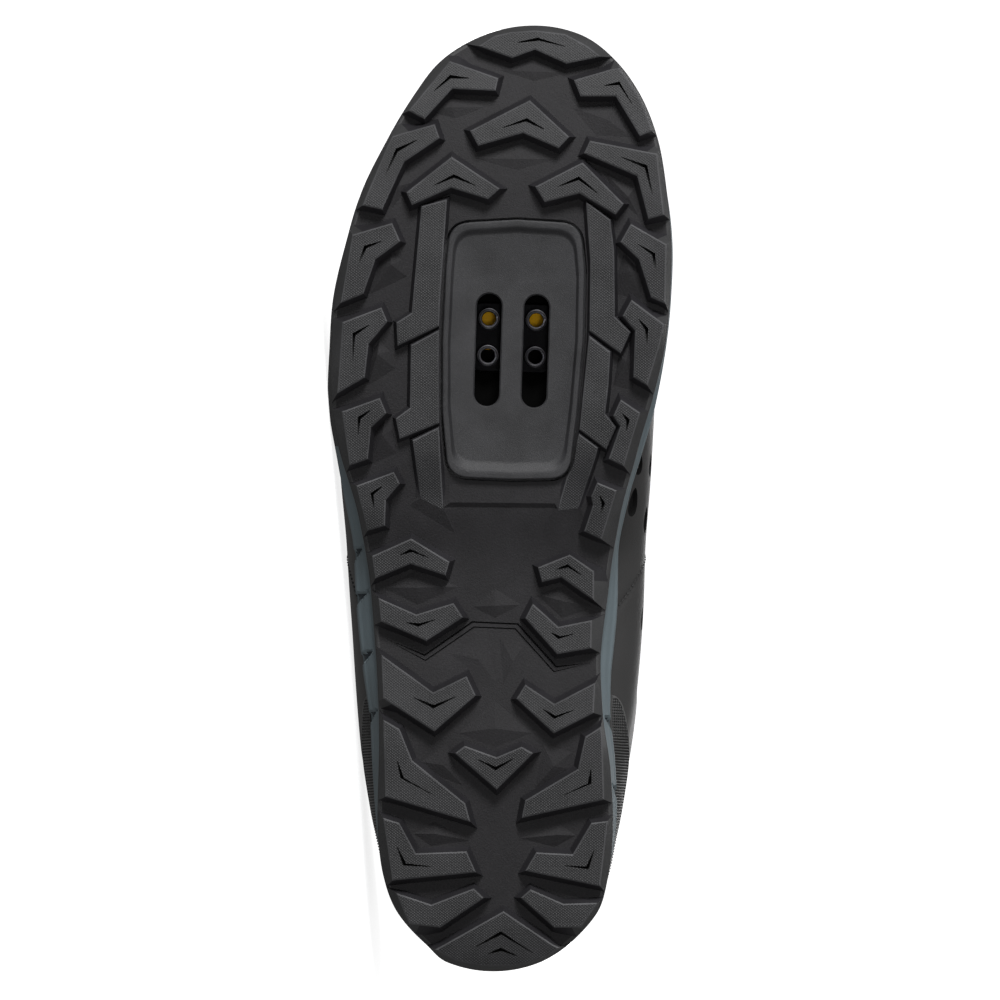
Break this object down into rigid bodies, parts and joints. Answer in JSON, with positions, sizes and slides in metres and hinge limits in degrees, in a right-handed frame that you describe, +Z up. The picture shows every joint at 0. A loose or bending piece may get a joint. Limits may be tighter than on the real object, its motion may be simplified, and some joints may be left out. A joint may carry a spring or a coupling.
{
  "type": "cycling shoe",
  "caption": "Right cycling shoe with a lugged rubber sole, a slotted cleat bed with a sliding nut plate, a hollow upper and strap closure.",
  "frame": {"origin": "middle of the bounding box, on the floor that the shoe lies on", "axes": "+Z up from the floor, +Y towards the toe, -X the way the sole faces; the lateral side is down"},
  "size_m": [0.1146, 0.2786, 0.1049],
  "materials": {
    "rubber": "black carbon rubber, matt lug faces with a fine cross hatch",
    "foam": "slate-grey moulded foam, satin skin",
    "nylon": "black glass-filled nylon, fine moulded grain",
    "steel": "black oxide, oiled",
    "footbed": "yellow foam footbed, fine cells below, knit above",
    "synthetic": "black synthetic leather, fine even grain",
    "overlay": "black moulded film with fine upright ribs, a net-like pattern at the front ends",
    "textile": "black spacer mesh",
    "webbing": "black coated strap with stitched edges"
  },
  "bodies": {
    "shoe": {"outsole": "rubber", "midsole": "foam", "cleat_bed": "nylon", "insole": "footbed", "upper": "synthetic", "heel_counter": "overlay", "tongue": "textile", "strap_toe": "webbing", "strap_middle": "webbing", "strap_instep": "webbing"},
    "cleat_nut": {"cleat_nut_plate": "steel"}
  },
  "joints": [
    {"name": "cleat_nut_slide", "type": "slide", "parent": "shoe", "child": "cleat_nut", "axis": [0.0011, 0.9942, 0.1074], "range_m": [-0.0116, 0.0039]}
  ]
}
